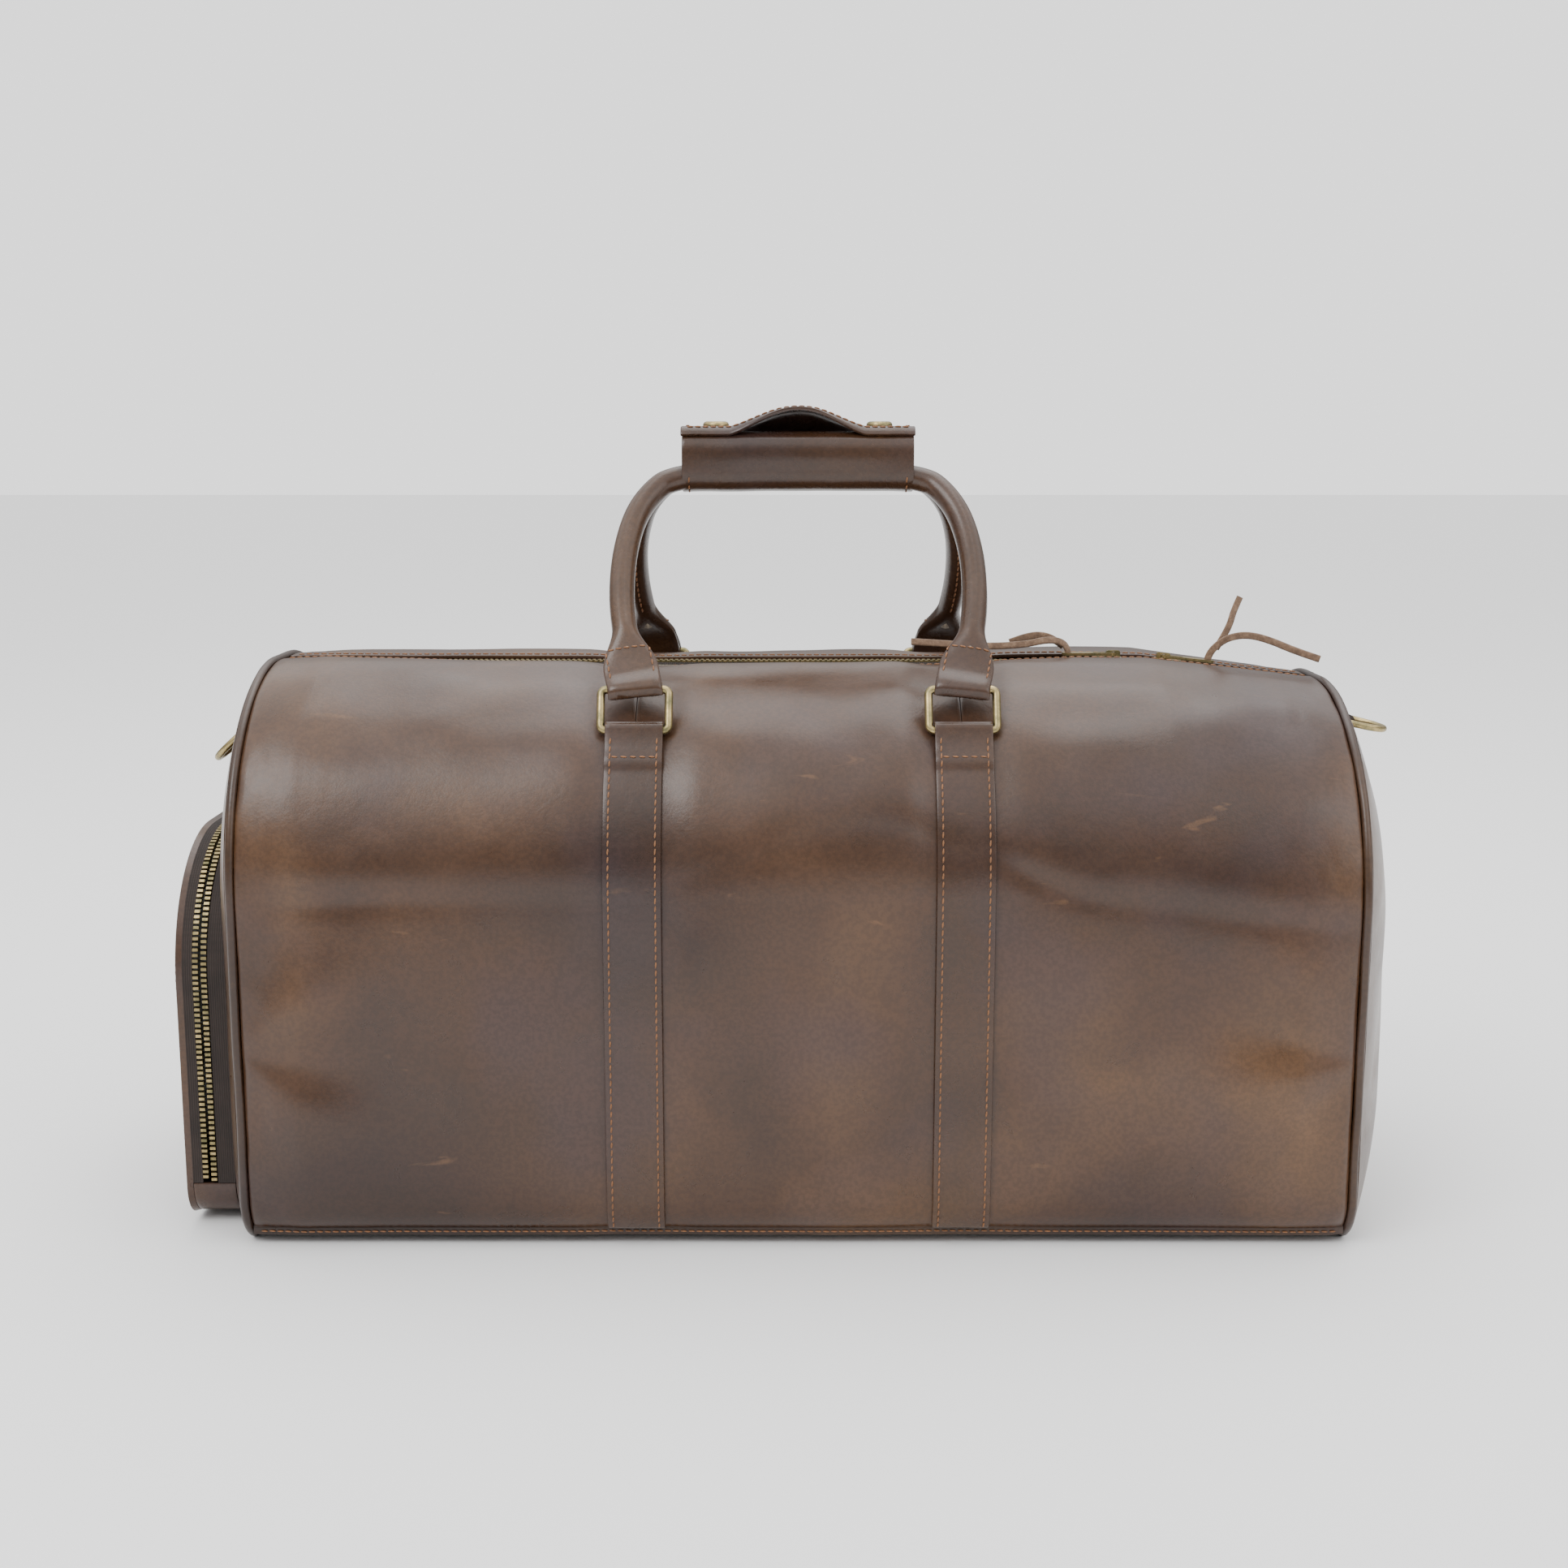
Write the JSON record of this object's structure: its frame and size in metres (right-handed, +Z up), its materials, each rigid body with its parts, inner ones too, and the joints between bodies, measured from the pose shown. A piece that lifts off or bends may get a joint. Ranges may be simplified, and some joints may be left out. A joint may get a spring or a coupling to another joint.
{
  "type": "duffel bag",
  "caption": "Leather duffel bag with a zipped top, rolled handles joined by a snapped grip wrap, a zipped arched pocket on one end and a D-ring at each end.",
  "frame": {"origin": "middle of the bag's underside, between its two piped end seams, on the surface it stands on", "axes": "+X along the bag to its right end, away from the pocket; -Y the front; +Z up"},
  "size_m": [0.6914, 0.265, 0.4522],
  "materials": {
    "body_leather": "smooth waxed pull-up leather, semi-gloss, mottled warm brown",
    "strap_leather": "thick strap leather, semi-gloss, darker brown, stitched edges",
    "trim_leather": "thin leather rolled over piping cord",
    "suede": "raw cut thong leather with a suede back",
    "lining": "plain woven cotton",
    "board": "stiff board",
    "core_cord": "cotton rope",
    "zip_tape": "dark brown woven tape",
    "brass": "antique brass with dark patina"
  },
  "bodies": {
    "bag": {"front_panel_left": "body_leather", "front_panel_centre": "body_leather", "front_panel_right": "body_leather", "back_panel_left": "body_leather", "back_panel_centre": "body_leather", "back_panel_right": "body_leather", "bottom_panel": "body_leather", "base_board": "board", "end_panel_left": "body_leather", "end_panel_right": "body_leather", "piping_left": "trim_leather", "piping_right": "trim_leather", "lining": "lining", "front_welt": "trim_leather", "back_welt": "trim_leather", "zip_tape_front": "zip_tape", "zip_tape_back": "zip_tape", "zip_teeth_front": "brass", "zip_teeth_back": "brass", "zip_stops": "brass", "front_strap_left": "strap_leather", "front_strap_right": "strap_leather", "back_strap_left": "strap_leather", "back_strap_right": "strap_leather", "d_ring_tab_left": "strap_leather", "d_ring_tab_right": "strap_leather", "pocket_face": "body_leather", "pocket_bottom": "body_leather", "pocket_tape_inner": "zip_tape", "pocket_tape_outer": "zip_tape", "pocket_teeth_inner": "brass", "pocket_teeth_outer": "brass"},
    "front_rings": {"front_ring_left": "brass", "front_ring_right": "brass"},
    "back_rings": {"back_ring_left": "brass", "back_ring_right": "brass"},
    "handles": {"front_handle": "strap_leather", "back_handle": "strap_leather", "front_handle_core": "core_cord", "back_handle_core": "core_cord", "wrap_sleeve": "strap_leather", "snap_stud_left": "brass", "snap_stud_right": "brass"},
    "wrap_flap": {"wrap_flap": "strap_leather", "snap_cap_left": "brass", "snap_cap_right": "brass", "snap_socket_left": "brass", "snap_socket_right": "brass"},
    "left_slider": {"zip_slider_left": "brass"},
    "left_pull": {"zip_pull_left": "brass", "thong_left_long": "suede", "thong_left_short": "suede"},
    "right_slider": {"zip_slider_right": "brass"},
    "right_pull": {"zip_pull_right": "brass", "thong_right_long": "suede", "thong_right_short": "suede"},
    "left_d_ring": {"d_ring_left": "brass"},
    "right_d_ring": {"d_ring_right": "brass"},
    "pocket_slider": {"pocket_slider": "brass"},
    "pocket_pull": {"pocket_pull": "brass"}
  },
  "joints": [
    {"name": "front_rings_swing", "type": "hinge", "parent": "bag", "child": "front_rings", "pos_m": [0, -0.09829, 0.28025], "axis": [1, 0, 0], "range_deg": [-20, 65]},
    {"name": "back_rings_swing", "type": "hinge", "parent": "bag", "child": "back_rings", "pos_m": [0, 0.09829, 0.28025], "axis": [1, 0, 0], "range_deg": [-20, 65]},
    {"name": "handles_swing", "type": "hinge", "parent": "front_rings", "child": "handles", "pos_m": [0, -0.08857, 0.30109], "axis": [1, 0, 0], "range_deg": [-65, 20]},
    {"name": "wrap_flap_lift", "type": "hinge", "parent": "handles", "child": "wrap_flap", "pos_m": [0, 0.0276, 0.439], "axis": [-1, 0, 0], "range_deg": [0, 150]},
    {"name": "left_slider_slide", "type": "slide", "parent": "bag", "child": "left_slider", "axis": [-1, 0, 0], "range_m": [0, 0.45]},
    {"name": "left_pull_flip", "type": "hinge", "parent": "left_slider", "child": "left_pull", "pos_m": [0.1835, 0, 0.3108], "axis": [0, 1, 0], "range_deg": [0, 100]},
    {"name": "right_slider_slide", "type": "slide", "parent": "bag", "child": "right_slider", "axis": [0.994, 0, -0.1093], "range_m": [0, 0.054]},
    {"name": "right_pull_flip", "type": "hinge", "parent": "right_slider", "child": "right_pull", "pos_m": [0.21272, 0, 0.30941], "axis": [0, -1, 0], "range_deg": [0, 100]},
    {"name": "left_d_ring_swing", "type": "hinge", "parent": "bag", "child": "left_d_ring", "pos_m": [-0.32065, 0, 0.267], "axis": [0, 1, 0], "range_deg": [-46, 92]},
    {"name": "right_d_ring_swing", "type": "hinge", "parent": "bag", "child": "right_d_ring", "pos_m": [0.31799, 0, 0.27262], "axis": [0, 1, 0], "range_deg": [-62, 60]},
    {"name": "pocket_slider_slide", "type": "slide", "parent": "bag", "child": "pocket_slider", "axis": [0, 0, 1], "range_m": [0, 0.094]},
    {"name": "pocket_pull_flip", "type": "hinge", "parent": "pocket_slider", "child": "pocket_pull", "pos_m": [-0.327, 0.1043, 0.0415], "axis": [1, 0, 0], "range_deg": [0, 100]}
  ],
  "couplings": [
    {"joint": "back_rings_swing", "follows": "front_rings_swing", "ratio": 1},
    {"joint": "handles_swing", "follows": "front_rings_swing", "ratio": -1}
  ]
}
